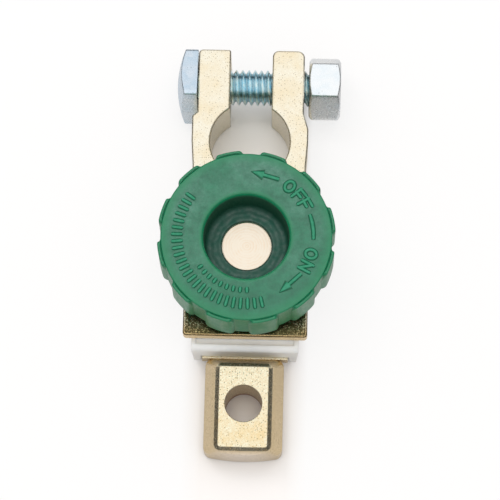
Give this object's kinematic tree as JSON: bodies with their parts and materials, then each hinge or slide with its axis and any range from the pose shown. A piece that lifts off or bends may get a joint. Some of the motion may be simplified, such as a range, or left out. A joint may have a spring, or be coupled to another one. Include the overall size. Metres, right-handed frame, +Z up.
{
  "type": "battery isolator",
  "caption": "Screw-knob battery isolator with a split post clamp, a clamp bolt and nut, and a cable terminal block under a nylon insulator.",
  "frame": {"origin": "on the axis of the battery post's bore, at the clamp's underside, which is the surface that the part rests on", "axes": "+Z up along the post and the knob's axis, +Y along the length from the cable terminal to the clamp's lugs, +X towards the clamp nut"},
  "size_m": [0.0394, 0.0921, 0.028],
  "materials": {
    "brass_plated_casting": "cast, brass plated",
    "gold_plated_casting": "cast, gold plated",
    "turned_brass": "turned",
    "zinc_plated_steel": "blue zinc plated",
    "spring_steel": "oiled",
    "green_moulding": "moulded, satin",
    "white_nylon": "moulded, satin"
  },
  "bodies": {
    "base": {"clamp_casting": "brass_plated_casting", "insulator": "white_nylon", "bottom_cover": "white_nylon", "terminal": "gold_plated_casting", "cover_screw_1": "zinc_plated_steel", "cover_screw_2": "zinc_plated_steel", "cover_screw_3": "zinc_plated_steel", "cover_screw_4": "zinc_plated_steel"},
    "contact": {"contact_washer": "turned_brass"},
    "knob": {"knob": "green_moulding", "knob_stud": "turned_brass", "retaining_ring": "spring_steel"},
    "bolt": {"clamp_bolt": "zinc_plated_steel"},
    "nut": {"clamp_nut": "zinc_plated_steel"}
  },
  "joints": [
    {"name": "knob_lift", "type": "slide", "parent": "base", "child": "contact", "axis": [0, 0, 1], "range_m": [0, 0.006]},
    {"name": "knob_turn", "type": "hinge", "parent": "contact", "child": "knob", "pos_m": [0, -0.0254, 0.016], "axis": [0, 0, 1], "range_deg": [0, 1440]},
    {"name": "nut_turn", "type": "hinge", "parent": "base", "child": "nut", "pos_m": [0.013, 0.01455, 0.0075], "axis": [1, 0, 0], "range_deg": [0, 1080]},
    {"name": "bolt_draw", "type": "slide", "parent": "base", "child": "bolt", "axis": [-1, 0, 0], "range_m": [0, 0.00425]}
  ],
  "couplings": [
    {"joint": "knob_lift", "follows": "knob_turn", "m_per_rad": 0.00023873},
    {"joint": "bolt_draw", "follows": "nut_turn", "m_per_rad": 0.00022457}
  ]
}
